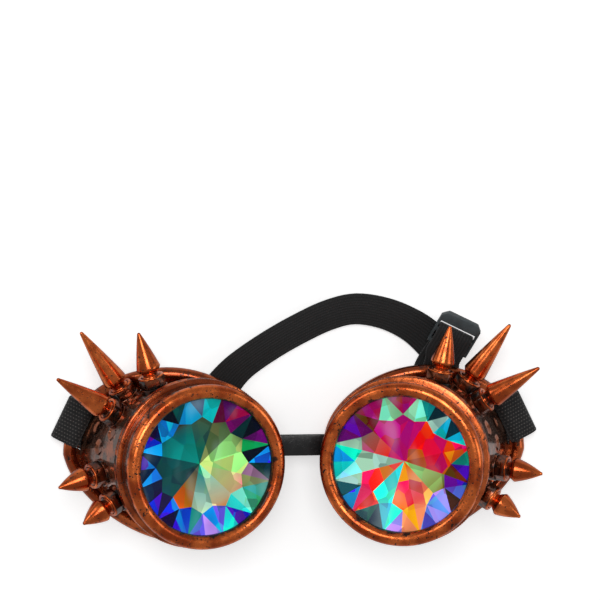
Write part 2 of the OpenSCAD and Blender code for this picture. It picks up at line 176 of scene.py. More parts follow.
def linear(color):
    return tuple(c / 12.92 if c < 0.04045 else ((c + 0.055) / 1.055) ** 2.4 for c in color) + (1,)


def newMaterial(name):
    material = bpy.data.materials.new(name)
    material.use_nodes = True
    tree = material.node_tree
    return material, tree, tree.nodes["Principled BSDF"]


def connect(tree, node, values):
    for key, value in values.items():
        if isinstance(value, bpy.types.NodeSocket):
            tree.links.new(value, node.inputs[key])
        else:
            node.inputs[key].default_value = value


def put(tree, kind, values=None, **settings):
    node = tree.nodes.new(kind)
    for key, value in settings.items():
        setattr(node, key, value)
    connect(tree, node, values or {})
    return node


def math2(tree, operation, a, b=0.0):
    return put(tree, "ShaderNodeMath", {0: a, 1: b}, operation=operation).outputs[0]


def mixed(tree, share, low, high):
    return put(tree, "ShaderNodeMix", {0: share, 6: low, 7: high}, data_type="RGBA").outputs[2]


def spread(tree, value, low, high, start=0.0, end=1.0):
    # Stretches low..high to start..end, and holds the ends
    values = {0: value, 1: low, 2: high, 3: start, 4: end}
    return put(tree, "ShaderNodeMapRange", values, interpolation_type="SMOOTHSTEP").outputs[0]


def objectPlace(tree, stretch=(1, 1, 1)):
    where = put(tree, "ShaderNodeTexCoord").outputs["Object"]
    return put(tree, "ShaderNodeMapping", {"Vector": where, "Scale": stretch}).outputs[0]


def noise(tree, where, size, detail=3.0, rough=0.55):
    # size is the width of one blotch in millimetres
    values = {"Vector": where, "Scale": 1 / (size * mm), "Detail": detail, "Roughness": rough}
    return put(tree, "ShaderNodeTexNoise", values).outputs["Fac"]


def bump(tree, height, depth):
    return put(tree, "ShaderNodeBump", {"Height": height, "Distance": depth * mm}).outputs[0]


# Copper finishes: bright copper, brown patina over it, black flecks in it. Sizes are in millimetres.

copperLooks = {
    "bezelCopper": {
        "bright": (0.93, 0.47, 0.23), "deep": (0.68, 0.28, 0.12), "patina": (0.17, 0.08, 0.05),
        "patinaFrom": 0.54, "patinaTo": 0.72, "fleckFrom": 0.635, "fleckSize": 1.1,
        "bump": 0.04, "rough": 0.24, "coat": 0.15,
    },
    # The skirt band is darker and greyer than the ring: painted shade under the ring and a painted grey
    # reflection over its copper
    "shadedBandCopper": {
        "bright": (0.56, 0.40, 0.33), "deep": (0.42, 0.26, 0.19), "patina": (0.08, 0.055, 0.045),
        "patinaFrom": 0.60, "patinaTo": 0.74, "fleckFrom": 0.65, "fleckSize": 0.9,
        "bump": 0.02, "rough": 0.14, "coat": 0.3,
    },
    "wallCopper": {
        "bright": (0.68, 0.38, 0.24), "deep": (0.50, 0.28, 0.18), "patina": (0.33, 0.23, 0.18),
        "patinaFrom": 0.42, "patinaTo": 0.56, "fleckFrom": 0.66, "fleckSize": 1.0,
        "bump": 0.03, "rough": 0.15, "coat": 0.5,
    },
    "rimCopper": {
        "bright": (0.86, 0.43, 0.22), "deep": (0.60, 0.26, 0.12), "patina": (0.16, 0.09, 0.06),
        "patinaFrom": 0.54, "patinaTo": 0.70, "fleckFrom": 0.64, "fleckSize": 0.9,
        "bump": 0.04, "rough": 0.2, "coat": 0.3,
    },
    "spikeCopper": {
        "bright": (0.93, 0.48, 0.24), "deep": (0.70, 0.30, 0.13), "patina": (0.22, 0.10, 0.06),
        "patinaFrom": 0.58, "patinaTo": 0.74, "fleckFrom": 0.655, "fleckSize": 0.9,
        "bump": 0.01, "rough": 0.21, "coat": 0.15,
    },
    "nutCopper": {
        "bright": (0.60, 0.31, 0.17), "deep": (0.38, 0.18, 0.10), "patina": (0.10, 0.06, 0.045),
        "patinaFrom": 0.46, "patinaTo": 0.60, "fleckFrom": 0.64, "fleckSize": 0.8,
        "bump": 0.03, "rough": 0.16, "coat": 0.4,
    },
}
fleckColor = (0.09, 0.055, 0.04)


def copperMaterial(name):
    look = copperLooks[name]
    material, tree, shader = newMaterial(name)
    where = objectPlace(tree)
    patinaAndShade = put(tree, "ShaderNodeAttribute", attribute_name="patinaAndShade").outputs["Fac"]
    bareCopperAndHighlight = put(tree, "ShaderNodeAttribute", attribute_name="bareCopperAndHighlight").outputs["Fac"]
    clouds = noise(tree, where, 9, 2)
    color = mixed(tree, spread(tree, clouds, 0.35, 0.65), linear(look["bright"]), linear(look["deep"]))
    # The patina lies where its noise is high, more where the darkening attribute is high and less where the
    # bright one is.
    # The darkening holds patina at the bezel's inner edge and in grooves, darker bands near the collar and
    # the spike bases, and painted shade on the bezel's outer side
    stain = math2(tree, "ADD", noise(tree, where, 3.6, 5, 0.65), math2(tree, "MULTIPLY", patinaAndShade, 0.3))
    # The bright one holds bare copper, and a painted highlight along the bezel's crest
    stain = math2(tree, "SUBTRACT", stain, math2(tree, "MULTIPLY", bareCopperAndHighlight, 0.35))
    stainShare = spread(tree, stain, look["patinaFrom"], look["patinaTo"])
    color = mixed(tree, stainShare, color, linear(look["patina"]))
    # Flecks in two sizes, the larger ones longer than they are wide
    small = noise(tree, where, look["fleckSize"], 2, 0.5)
    large = noise(tree, objectPlace(tree, (1, 0.55, 1)), look["fleckSize"] * 2.2, 4, 0.7)
    fleck = math2(tree, "MAXIMUM", spread(tree, small, look["fleckFrom"], look["fleckFrom"] + 0.03),
                  spread(tree, large, look["fleckFrom"] + 0.01, look["fleckFrom"] + 0.04))
    color = mixed(tree, fleck, color, linear(fleckColor))
    rough = math2(tree, "ADD", math2(tree, "MULTIPLY", fleck, 0.3), spread(
        tree, noise(tree, where, 1.6, 3), 0.3, 0.7, look["rough"] - 0.04, look["rough"] + 0.08))
    skin = math2(tree, "SUBTRACT", noise(tree, where, 2.4, 3), math2(tree, "MULTIPLY", fleck, 0.5))
    connect(tree, shader, {
        "Base Color": color,
        "Metallic": spread(tree, math2(tree, "MAXIMUM", stainShare, fleck), 0, 1, 1.0, 0.55),
        "Roughness": rough,
        "Normal": bump(tree, skin, look["bump"]),
        "Coat Weight": look["coat"],
        "Coat Roughness": 0.08,
    })
    return material


def rubberMaterial(name):
    material, tree, shader = newMaterial(name)
    grain = noise(tree, objectPlace(tree), 0.5, 3)
    connect(tree, shader, {
        "Base Color": mixed(tree, grain, linear((0.10, 0.10, 0.10)), linear((0.15, 0.15, 0.15))),
        "Roughness": spread(tree, grain, 0.3, 0.7, 0.55, 0.7),
        "Normal": bump(tree, grain, 0.03),
    })
    return material


def plasticMaterial(name, color, rough, grainSize=0.7):
    material, tree, shader = newMaterial(name)
    where = objectPlace(tree)
    grain = noise(tree, where, grainSize, 3)
    cloud = noise(tree, where, 6, 3)
    pale = tuple(min(1, c * 1.25 + 0.01) for c in color)
    connect(tree, shader, {
        "Base Color": mixed(tree, spread(tree, cloud, 0.35, 0.65), linear(color), linear(pale)),
        "Roughness": spread(tree, grain, 0.3, 0.7, rough - 0.04, rough + 0.06),
        "Normal": bump(tree, grain, 0.012),
    })
    return material


def steelMaterial(name):
    material, tree, shader = newMaterial(name)
    brushed = noise(tree, objectPlace(tree, (1, 1, 0.1)), 0.3, 3)
    connect(tree, shader, {
        "Base Color": mixed(tree, brushed, linear((0.55, 0.55, 0.56)), linear((0.72, 0.72, 0.72))),
        "Metallic": 1.0,
        "Roughness": spread(tree, brushed, 0.3, 0.7, 0.25, 0.4),
        "Normal": bump(tree, brushed, 0.01),
    })
    return material


# The weave's colours, the first of them a painted shade for its hollows
clothColors = {"shadedHollow": (0.035, 0.035, 0.038), "ridge": (0.115, 0.115, 0.12), "dot": (0.42, 0.40, 0.38)}


def ribbonMaterial(name, ribPitch, stitchPitch, dots):
    # Woven ribbon: ribs along its length, stitches across them, and a pale dot on each stitch
    material, tree, shader = newMaterial(name)
    uv = put(tree, "ShaderNodeUVMap").outputs[0]
    split = put(tree, "ShaderNodeSeparateXYZ", {0: uv})
    along, across = split.outputs[0], split.outputs[1]

    def wave(value, pitch, shift=0.0):
        turn = math2(tree, "MULTIPLY", value, math.tau / (pitch * mm))
        swing = math2(tree, "SINE", math2(tree, "ADD", turn, shift))
        return math2(tree, "MULTIPLY", swing, 0.5)
    rib = math2(tree, "ADD", wave(across, ribPitch), 0.5)
    # Stitches of neighbouring ribs are half a stitch apart
    ribNumber = math2(tree, "FLOOR", math2(tree, "DIVIDE", across, ribPitch * mm))
    stagger = math2(tree, "MULTIPLY", ribNumber, math.pi)
    stitch = math2(tree, "ADD", wave(along, stitchPitch, stagger), 0.5)
    fuzz = noise(tree, objectPlace(tree), 0.35, 3)
    height = math2(tree, "ADD", math2(tree, "MULTIPLY", rib, 0.7), math2(tree, "MULTIPLY", stitch, 0.3))
    height = math2(tree, "ADD", height, math2(tree, "MULTIPLY", fuzz, 0.3))
    dot = spread(tree, math2(tree, "MULTIPLY", rib, stitch), 0.72, 0.95, 0, dots)
    shadedHollow, ridge, pale = [linear(clothColors[key]) for key in ("shadedHollow", "ridge", "dot")]
    # The weave is darker in its hollows: painted shade
    color = mixed(tree, spread(tree, height, 0.35, 1.1), shadedHollow, ridge)
    color = mixed(tree, dot, color, pale)
    connect(tree, shader, {
        "Base Color": color,
        "Roughness": 0.8,
        "Normal": bump(tree, height, 0.16),
        "Sheen Weight": 0.15,
        "Sheen Roughness": 0.5,
    })
    return material


# The crystal's look: a cell size, a painted highlight's colour, a painted shade's colour and a painted
# glow's strength
crystalLook = {"cell": 5.5, "paintedGlint": (0.80, 0.95, 0.95), "depth": (0.02, 0.05, 0.10), "paintedGlow": 0.42}


def crystalMaterial(name):
    # Each facet's tint is a colour attribute. Sharp cells shift its hue and brightness a little, a painted
    # reflection of the facets behind.
    material, tree, shader = newMaterial(name)
    tint = put(tree, "ShaderNodeAttribute", attribute_name="tint").outputs["Color"]
    where = objectPlace(tree, (1, 0.7, 1))
    cells = put(tree, "ShaderNodeTexVoronoi", {"Vector": where, "Scale": 1 / (crystalLook["cell"] * mm)})
    parts = put(tree, "ShaderNodeSeparateColor", {0: cells.outputs["Color"]}).outputs
    paintedReflectionTint = put(tree, "ShaderNodeHueSaturation", {
        "Hue": spread(tree, parts[0], 0, 1, 0.46, 0.54),
        "Saturation": 1.2,
        "Value": spread(tree, parts[1], 0, 1, 0.6, 1.3),
        "Color": tint,
    }).outputs[0]
    # One noise lays pale streaks of painted highlight over the facets, and dark patches of painted shade
    paintedLightNoise = noise(tree, objectPlace(tree, (1, 0.5, 1)), 9, 1, 0.4)
    paintedGlow = mixed(tree, spread(tree, paintedLightNoise, 0.54, 0.80, 0, 0.14), paintedReflectionTint, linear(crystalLook["paintedGlint"]))
    # The dark patches, in the depth colour, are painted shade
    paintedGlow = mixed(tree, spread(tree, paintedLightNoise, 0.48, 0.24, 0, 0.30), paintedGlow, linear(crystalLook["depth"]))
    # The facets also glow with their own colour: a painted glow, as the crystal is no lamp
    connect(tree, shader, {
        "Base Color": paintedGlow,
        "Roughness": 0.3,
        "Specular IOR Level": 0.12,
        "Emission Color": paintedGlow,
        "Emission Strength": crystalLook["paintedGlow"],
    })
    return material


def clearMaterial(name):
    material, tree, shader = newMaterial(name)
    smear = noise(tree, objectPlace(tree), 14, 3)
    connect(tree, shader, {
        # The faint dark tint over the facets is painted shade, for depth
        "Base Color": linear((0.10, 0.12, 0.14)),
        "Roughness": spread(tree, smear, 0.3, 0.7, 0.02, 0.06),
        "Alpha": 0.06,
    })
    return material


copper = {name: copperMaterial(name) for name in copperLooks}
rubber = rubberMaterial("blackRubber")
steel = steelMaterial("brushedSteel")
elasticCloth = ribbonMaterial("ribbedElastic", 1.17, 0.9, 0.0)
webbingCloth = ribbonMaterial("wovenWebbing", 1.3, 1.1, 0.9)
slate = plasticMaterial("slatePlastic", (0.20, 0.225, 0.235), 0.38)
ringPlastic = plasticMaterial("blackPlastic", (0.07, 0.07, 0.075), 0.4)
bridgePlastic = plasticMaterial("bridgePlastic", (0.08, 0.08, 0.085), 0.22, 1.2)
crystalTint = crystalMaterial("crystalFacets")
crystalClear = clearMaterial("crystalFront")
print("materials made")


# The goggles' shape, as in the part: the barrel carries the lens, the rim rests on the face

cupSizes = {
    "rimOffset": 49, "rimHalfWide": 38.7, "rimHalfHigh": 33.6, "beadRadius": 2.6, "wall": 2.2,
    "beadSink": 0.4, "footIn": 1.1, "shellRadius": 30.58, "shellFront": -12.5,
    "browRise": 9, "browAngle": 100, "browHalfWide": 64, "browPower": 1.6, "cheekCut": 3.8, "cheekFrom": 270,
    "dents": [(24, 0.71), (22.5, 0.28), (10, 0.5), (52, 0.3)], "dentRadius": 2.9, "dentDeep": 0.7,
    "dentSlope": 0.7, "ribAt": 0.87, "ribFrom": 12, "ribTo": 37, "ribHigh": 0.55, "ribHalfWide": 0.9,
    "ribEnd": 3, "knurlEnd": -9.75, "collarEnd": -12.8, "collarDarken": 0.35, "darkenFrom": -13, "darkenFade": 1.3,
    "angles": 360, "wallSteps": 46, "beadFrom": 150, "beadSweep": 270, "beadSteps": 22, "liningSteps": 12,
}
barrelPlace = {"offset": 35.6, "height": 38, "toeIn": 16}
beadWide = cupSizes["rimHalfWide"] - cupSizes["beadRadius"]
beadHigh = cupSizes["rimHalfHigh"] - cupSizes["beadRadius"]
footOut = -cupSizes["beadRadius"] - cupSizes["footIn"]


def barrel(side):
    turn = math.radians(-barrelPlace["toeIn"] * side)
    centre = Vector((side * barrelPlace["offset"], 0, barrelPlace["height"])) * mm
    return Matrix.Translation(centre) @ Matrix.Rotation(turn, 4, "Y")


def browLift(a):
    fromMiddle = abs((a - cupSizes["browAngle"] + 540) % 360 - 180)
    share = min(1, fromMiddle / cupSizes["browHalfWide"]) ** cupSizes["browPower"]
    return cupSizes["browRise"] * math.cos(math.pi / 2 * share) ** 2


def cheekIn(a):
    start = cupSizes["cheekFrom"]
    return cupSizes["cheekCut"] * math.sin(2 * math.radians(a - start)) if a % 360 > start else 0


def rimPoint(a, out, up):
    turn = math.radians(a)
    return Vector((
        cupSizes["rimOffset"] + (beadWide - cheekIn(a) + out) * math.cos(turn),
        (beadHigh - cheekIn(a) + out) * math.sin(turn),
        cupSizes["beadRadius"] - cupSizes["beadSink"] + browLift(a) + up,
    ))


def frontPoint(a, out):
    turn = math.radians(a)
    r = cupSizes["shellRadius"] + out
    local = Vector((r * math.cos(turn), r * math.sin(turn), cupSizes["shellFront"])) * mm
    return (barrel(1) @ local) / mm


def wallPoint(a, out, t):
    return frontPoint(a, out).lerp(rimPoint(a, footOut + out, 1), t)


dentCentres = [wallPoint(a, 0, t) for a, t in cupSizes["dents"]]


def wallShape(a, t):
    # The outer wall with its dents pressed in and its short rib standing out
    point = wallPoint(a, 0, t)
    near = min((point - centre).length for centre in dentCentres)
    out = -cupSizes["dentDeep"] * min(1, max(0, (cupSizes["dentRadius"] - near) / cupSizes["dentSlope"]))
    if cupSizes["ribFrom"] < a < cupSizes["ribTo"]:
        drop = (frontPoint(a, 0) - rimPoint(a, footOut, 1)).length
        away = abs(t - cupSizes["ribAt"]) * drop / cupSizes["ribHalfWide"]
        end = cupSizes["ribEnd"]
        ends = min(1, (a - cupSizes["ribFrom"]) / end, (cupSizes["ribTo"] - a) / end)
        out += cupSizes["ribHigh"] * ends * max(0, 1 - away * away) ** 0.5
    return wallPoint(a, out, t)


# Spikes: angle round the cup, share of the way down its wall, direction, slope, height, swell, turn

spikeRows = {
    "temple": (38, 0.36, 34.5, 20, 28.5, 0.15, 0),
    "upper": (57, 0.66, 56, 13.5, 31.1, 0.15, 0),
    "brow": (69, 0.28, 77, 7.5, 22, 0.15, 2.5),
    "side": (-8, 0.42, -10.5, 25, 18.5, 0.35, 4.5),
    "cheek": (-25, 0.19, -33, 25.5, 17, 0.35, 0),
}
spikeSizes = {"base": 6.3, "baseRadius": 4.5, "shoulder": 2, "tipRadius": 0.7, "coneSteps": 27,
              "browRowTurn": 2.7, "baseDarken": 0.5, "coneDarken": 0.3, "darkenEnd": 8}
nutSizes = {"flats": 8.6, "high": 3.6, "middle": 2.85, "rim": 0.55, "recess": 1.25, "bevel": 0.22}


def onWall(row, side):
    angle, share, direction, slope, height, swell, turn = row
    if angle > 0:
        angle += side * spikeSizes["browRowTurn"]
    foot = wallPoint(angle % 360, 0, share)
    heading = direction + side * turn
    if side < 0:
        heading = 180 - heading
    lean = Matrix.Rotation(math.radians(heading), 4, "Z") @ Matrix.Rotation(math.radians(90 - slope), 4, "Y")
    return Matrix.Translation(Vector((side * foot.x, foot.y, foot.z)) * mm) @ lean


# Webbing frame on the right cup: u runs out over the rim, v along it

loopAngle = math.radians(22.5)
loopTurn = math.atan2(beadWide * math.sin(loopAngle), beadHigh * math.cos(loopAngle))
loopOut = cupSizes["rimOffset"] + beadWide * math.cos(loopAngle)
loopCentre = Vector((loopOut, beadHigh * math.sin(loopAngle), 0))


def atLoop(u, z):
    return Vector((loopCentre.x + u * math.cos(loopTurn), loopCentre.y + u * math.sin(loopTurn), z))


# The cup: one closed skin from the collar down the wall, round the rolled bead and up inside.
# Its openings go from their low corner to their high one. The first three lie in the webbing's frame.

webbingCuts = {
    "slot": ((-4.0, -8.9, -1), (-2.2, 8.9, 6.2)),
    "notch": ((-8, -8.9, -1), (5, 8.9, 1.7)),
    "tunnel": ((-8, -8.9, -1.5), (-3.1, 8.9, 3.35)),
}
plainCuts = {
    "bridge": ((6, -0.5, 10.9), (18.55, 8.1, 13.1)),
    "rest": ((0, -60, -5), (120, 60, 0)),
}
seatOutline = [(0, 1), (5.3, 1), (5.3, 7), (0, 7)]
bossOutline = [(0, -3.4), (5.0, -3.4), (5.2, -3.2), (5.2, 0.8), (5.0, 1), (0, 1)]
collarSizes = {"steps": 420, "threads": 4, "threadFrom": -4.5, "threadPitch": 1, "knurlRadius": 31.3,
               "knurlBack": -9.7, "knurlDeep": 0.2}


def cutter(name, corners, matrix):
    obj = primitive("cube", name + "Cut", size=1)
    low, high = [Vector(corner) for corner in corners]
    middle = (low + high) / 2 * mm
    place(obj, matrix @ Matrix.Translation(middle) @ Matrix.Diagonal((high - low) * mm).to_4x4())
    return obj


def cupShell(name, side):
    steps = cupSizes["wallSteps"]
    bead = cupSizes["beadRadius"]
    wall = cupSizes["wall"]
    angles = [i * 360 / cupSizes["angles"] for i in range(cupSizes["angles"] + 1)]
    count = cupSizes["beadSteps"]
    lining = cupSizes["liningSteps"]
    beadAngles = [cupSizes["beadFrom"] - i * cupSizes["beadSweep"] / count for i in range(count + 1)]
    beadTurns = [math.radians(angle) for angle in beadAngles]
    rows = []
    for a in [angle % 360 for angle in angles]:
        rows.append(
            [wallShape(a, i / steps) for i in range(steps + 1)]
            + [rimPoint(a, bead * math.cos(turn), bead * math.sin(turn)) for turn in beadTurns]
            + [rimPoint(a, footOut - wall, cupSizes["beadSink"] - bead / 2)]
            + [wallPoint(a, -wall, 1 - i / lining) for i in range(lining + 1)]
            + [wallPoint(a, 0, 0)]
        )
    across = np.cumsum([0] + [(q - p).length for p, q in zip(rows[0], rows[0][1:])])
    shell = rolled(name, rows, [a / 2 for a in angles], across)
    # Openings for the webbing, the bridge strip, the rim's flat rest and the nuts' seats
    loopFrame = Matrix.Translation(loopCentre * mm) @ Matrix.Rotation(loopTurn, 4, "Z")
    cutters = [cutter(key, corners, loopFrame) for key, corners in webbingCuts.items()]
    cutters += [cutter(key, corners, Matrix.Identity(4)) for key, corners in plainCuts.items()]
    for key, row in spikeRows.items():
        seat = copyOf(seatModel, key + "Seat")
        matrix = onWall(row, side)
        if side < 0:
            matrix = Matrix.Scale(-1, 4, (1, 0, 0)) @ matrix
        place(seat, matrix)
        closeUp(seat)
        cutters.append(seat)
    tools = bpy.data.collections.new("cupCutters")
    bpy.context.scene.collection.children.link(tools)
    for tool in cutters:
        tools.objects.link(tool)
    apply(shell, "BOOLEAN", operand_type="COLLECTION", collection=tools, operation="DIFFERENCE",
          solver="MANIFOLD")
    for tool in cutters:
        bpy.data.objects.remove(tool)
    bpy.data.collections.remove(tools)
    return shell


def collarPiece(name, side):
    # The collar's front edge is knurled: every other point of the spun ring is pulled in a little
    steps = collarSizes["steps"]
    threads = []
    for i in range(collarSizes["threads"]):
        z = collarSizes["threadFrom"] - i * collarSizes["threadPitch"]
        threads += [(27.75, z), (28.1, z - 0.25), (28.1, z - 0.45), (27.75, z - 0.75)]
    outline = [(25.7, -4.1), (27.6, -4.1)] + threads + [
        (27.9, -8.5), (30.9, -8.5), (31.15, -8.6), (31.48, -8.95), (31.48, -9.55), (31.2, -9.8),
        (30.95, -10.1), (30.95, -11.9), (31.2, -12.2), (31.3, -12.5), (31.2, -12.9), (30.9, -13),
        (25.9, -13), (25.7, -12.8), (25.7, -4.1),
    ]
    ring = turned(name, outline, steps)
    for v in ring.data.vertices:
        r = math.hypot(v.co.x, v.co.y) / mm
        if r > collarSizes["knurlRadius"] and v.co.z / mm > collarSizes["knurlBack"]:
            step = round(math.atan2(v.co.y, v.co.x) / math.tau * steps)
            if step % 2:
                v.co.x *= 1 - collarSizes["knurlDeep"] / r
                v.co.y *= 1 - collarSizes["knurlDeep"] / r
    smooth(ring, 40)
    place(ring, barrel(side))
    return ring


def inBarrel(point, side):
    return (barrel(side).inverted() @ (point * mm)) / mm


def makeCup(name):
    side = sideSign[name]
    shell = cupShell(name + "Cup", side)
    # The cut leaves an empty slot behind
    shell.data.materials.clear()
    dress(shell, copper["wallCopper"], copper["rimCopper"])
    # The rolled bead and what lies inside it take the rim's finish
    uv = shell.data.uv_layers[0].data
    down = [wallShape(0, i / cupSizes["wallSteps"]) for i in range(cupSizes["wallSteps"] + 1)]
    rimStart = (sum((q - p).length for p, q in zip(down, down[1:])) + 0.2) * mm
    for face in shell.data.polygons:
        middle = sum(uv[i].uv.y for i in face.loop_indices) / face.loop_total
        face.material_index = 1 if middle > rimStart else 0
    smooth(shell, 30)
    if side < 0:
        place(shell, Matrix.Scale(-1, 4, (1, 0, 0)))
        closeUp(shell)
        smooth(shell, 30)
    collar = collarPiece(name + "Collar", side)
    dress(collar, copper["rimCopper"])
    bosses = []
    for key, row in spikeRows.items():
        boss = copyOf(bossModel, key + "Boss")
        place(boss, onWall(row, side))
        bosses.append(boss)
    cup = joined([shell, collar] + bosses, name + "CupShell")

    # Darker on the collar ring, and darker down the wall just behind the collar, fading away from it
    def patinaAndShade(point):
        local = inBarrel(point, side)
        if local.z > cupSizes["knurlEnd"]:
            return 0
        if local.z > cupSizes["collarEnd"]:
            return cupSizes["collarDarken"]
        return math.exp((local.z - cupSizes["darkenFrom"]) / cupSizes["darkenFade"])

    def bareCopperAndHighlight(point):
        if inBarrel(point, side).z > cupSizes["knurlEnd"]:
            return 1.0
        there = Vector((side * point.x, point.y, point.z))
        near = min((there - centre).length for centre in dentCentres)
        return 1.0 if near < cupSizes["dentRadius"] else 0.0
    paint(cup, "patinaAndShade", patinaAndShade)
    paint(cup, "bareCopperAndHighlight", bareCopperAndHighlight)
    finishPiece(cup, name + "_eye", "copper", name + "_cup")


# The bezel: a rounded front ring with a grooved skirt behind it

bezelSizes = {"ringRadius": 27.65, "tubeRadius": 2.65, "lipRadius": 25.0, "skirtRadius": 29.68,
              "skirtTop": -1.75, "groove": 0.35, "grooves": (-3.55, -7.1), "tubeSweep": 220, "tubeSteps": 26,
              "steps": 160}


def makeBezel(name):
    side = sideSign[name]
    tube = bezelSizes["tubeRadius"]
    skirt = bezelSizes["skirtRadius"]
    lip = bezelSizes["lipRadius"]
    outline = [(lip, -0.5)]
    count = bezelSizes["tubeSteps"]
    for i in range(count + 1):
        turn = math.radians(180 - i * bezelSizes["tubeSweep"] / count)
        outline.append((bezelSizes["ringRadius"] + tube * math.cos(turn), tube * math.sin(turn)))
    outline.append((skirt, -1.9))
    for z in bezelSizes["grooves"]:
        deep = skirt - bezelSizes["groove"]
        outline += [(skirt, z + 0.32), (skirt - 0.08, z + 0.25), (deep, z + 0.15), (deep, z - 0.15),
                    (skirt - 0.08, z - 0.25), (skirt, z - 0.32)]
    outline += [(skirt, -8.1), (skirt - 0.2, -8.3), (28.38, -8.3), (28.18, -8.1), (28.18, -3.9),
                (27.5, -3.9), (27.5, -0.5), (lip, -0.5)]
    bezel = turned(name + "BezelRing", outline, bezelSizes["steps"])

    # More patina at the ring's inner edge and in the skirt's grooves. The extra darkening over the ring's
    # outer side is painted shade.
    def patinaAndShade(point):
        r = math.hypot(point.x, point.y)
        innerEdge = math.exp(-max(0, r - lip) / 0.6) if point.z > -0.6 else 0
        paintedOuterShade = 0.45 * max(0, min(1, (1.2 - point.z) / 1.5)) if r > 29 and point.z > -1.8 else 0
        groove = 1 if r < skirt - 0.05 and point.z < -1.9 else 0
        return max(innerEdge, paintedOuterShade, groove)
    paint(bezel, "patinaAndShade", patinaAndShade)
    # Less patina along the ring's crest: a painted highlight along its top
    paint(bezel, "bareCopperAndHighlight", lambda point: max(0, min(1, (point.z - 1.6) / 1.0)) * 0.2)
    smooth(bezel, 30)
    dress(bezel, copper["bezelCopper"], copper["shadedBandCopper"])
    for face in bezel.data.polygons:
        face.material_index = 1 if face.center.z < bezelSizes["skirtTop"] * mm else 0
    place(bezel, barrel(side))
    finishPiece(bezel, name + "_ring", "copper", name + "_bezel")


# The crystal: twelve star kites, twelve kites between their points and a rim of triangles

crystalSizes = {"facets": 12, "back": -1.7, "deep": 6.2, "radius": 26.3, "starSide": 0.60, "starTip": 0.68}
frontOutline = [(0, -1.2), (26.9, -1.2), (27.2, -1.5), (27.2, -3.4), (26.4, -3.4)]
tints = {
    "lime": (0.75, 0.93, 0.60), "olive": (0.45, 0.52, 0.35), "moss": (0.27, 0.31, 0.22),
    "umber": (0.24, 0.16, 0.12), "mauve": (0.55, 0.42, 0.50), "maroon": (0.36, 0.10, 0.18),
    "teal": (0.0, 0.58, 0.54), "deepTeal": (0.0, 0.33, 0.33), "darkTeal": (0.02, 0.20, 0.22),
    "orange": (0.95, 0.50, 0.16), "beige": (0.80, 0.86, 0.72), "pink": (0.92, 0.62, 0.60),
    "salmon": (0.98, 0.60, 0.48), "mint": (0.62, 1.0, 0.88), "navy": (0.03, 0.07, 0.24),
    "ink": (0.02, 0.03, 0.10), "magenta": (0.72, 0.08, 0.45), "purple": (0.42, 0.12, 0.42),
    "cyan": (0.05, 0.66, 0.86), "sky": (0.30, 0.72, 0.95), "azure": (0.05, 0.45, 0.95),
    "periwinkle": (0.48, 0.56, 0.88), "violet": (0.40, 0.25, 0.72), "slate": (0.30, 0.38, 0.50),
    "crimson": (0.74, 0.05, 0.25), "red": (0.92, 0.13, 0.18), "rose": (0.90, 0.35, 0.45),
    "brown": (0.42, 0.22, 0.13), "coral": (1.0, 0.50, 0.40), "turquoise": (0.02, 0.95, 0.88),
    "aqua": (0.0, 0.75, 0.80), "paleGreen": (0.62, 0.86, 0.70), "mintGrey": (0.60, 0.74, 0.68),
    "taupe": (0.50, 0.44, 0.42), "yellow": (1.0, 0.80, 0.22), "peach": (1.0, 0.75, 0.55),
    "lavender": (0.68, 0.62, 0.92), "blue": (0.10, 0.25, 0.80), "paleCyan": (0.60, 0.92, 0.95),
    "green": (0.15, 0.60, 0.42),
}
# Tints run round from the +X side, two for each facet. A star kite goes from its inner tint to its
# outer one, and the others are split down the middle.
crystalTints = {
    "left": {
        "star": [
            "lime lime", "lime olive", "olive moss", "deepTeal moss", "teal umber", "teal deepTeal",
            "deepTeal darkTeal", "darkTeal deepTeal", "deepTeal orange", "teal beige", "mint salmon",
            "lime pink",
        ],
        "between": [
            "ink green", "darkTeal purple", "maroon aqua", "cyan cyan", "sky cyan", "azure navy",
            "azure navy", "navy azure", "blue teal", "cyan periwinkle", "turquoise mint", "olive mauve",
        ],
        "rim": [
            "darkTeal azure", "purple ink", "magenta purple", "aqua slate", "deepTeal ink", "navy violet",
            "blue navy", "navy blue", "navy azure", "periwinkle lavender", "turquoise blue", "green teal",
        ],
    },
    "right": {
        "star": [
            "crimson red", "red rose", "crimson red", "crimson magenta", "magenta crimson", "rose taupe",
            "mintGrey mintGrey", "salmon coral", "turquoise turquoise", "coral orange", "rose peach",
            "lime brown",
        ],
        "between": [
            "orange red", "aqua mintGrey", "mint paleGreen", "paleGreen mint", "brown purple",
            "mintGrey turquoise", "paleCyan mintGrey", "coral orange", "cyan turquoise", "yellow peach",
            "periwinkle lavender", "violet brown",
        ],
        "rim": [
            "violet teal", "aqua darkTeal", "darkTeal teal", "magenta crimson", "crimson magenta",
            "violet purple", "azure aqua", "deepTeal azure", "deepTeal navy", "lavender peach",
            "periwinkle lavender", "umber periwinkle",
        ],
    },
}


def facetPoint(kind, turn):
    count = crystalSizes["facets"]
    across = math.cos(math.pi / count)
    starSide = crystalSizes["starSide"]
    starTip = crystalSizes["starTip"]
    tipRise = starTip / (starSide * across)
    edgeRise = 1 + (tipRise - 1) * (1 - starSide) / (starTip * across - starSide)
    corners = {"middle": (0, 0), "side": (starSide, 1), "tip": (starTip, tipRise), "edge": (1, edgeRise)}
    share, level = corners[kind]
    a = turn * math.tau / count
    r = crystalSizes["radius"] * share
    z = crystalSizes["back"] - crystalSizes["deep"] * (1 - level / edgeRise)
    return Vector((r * math.cos(a), r * math.sin(a), z))


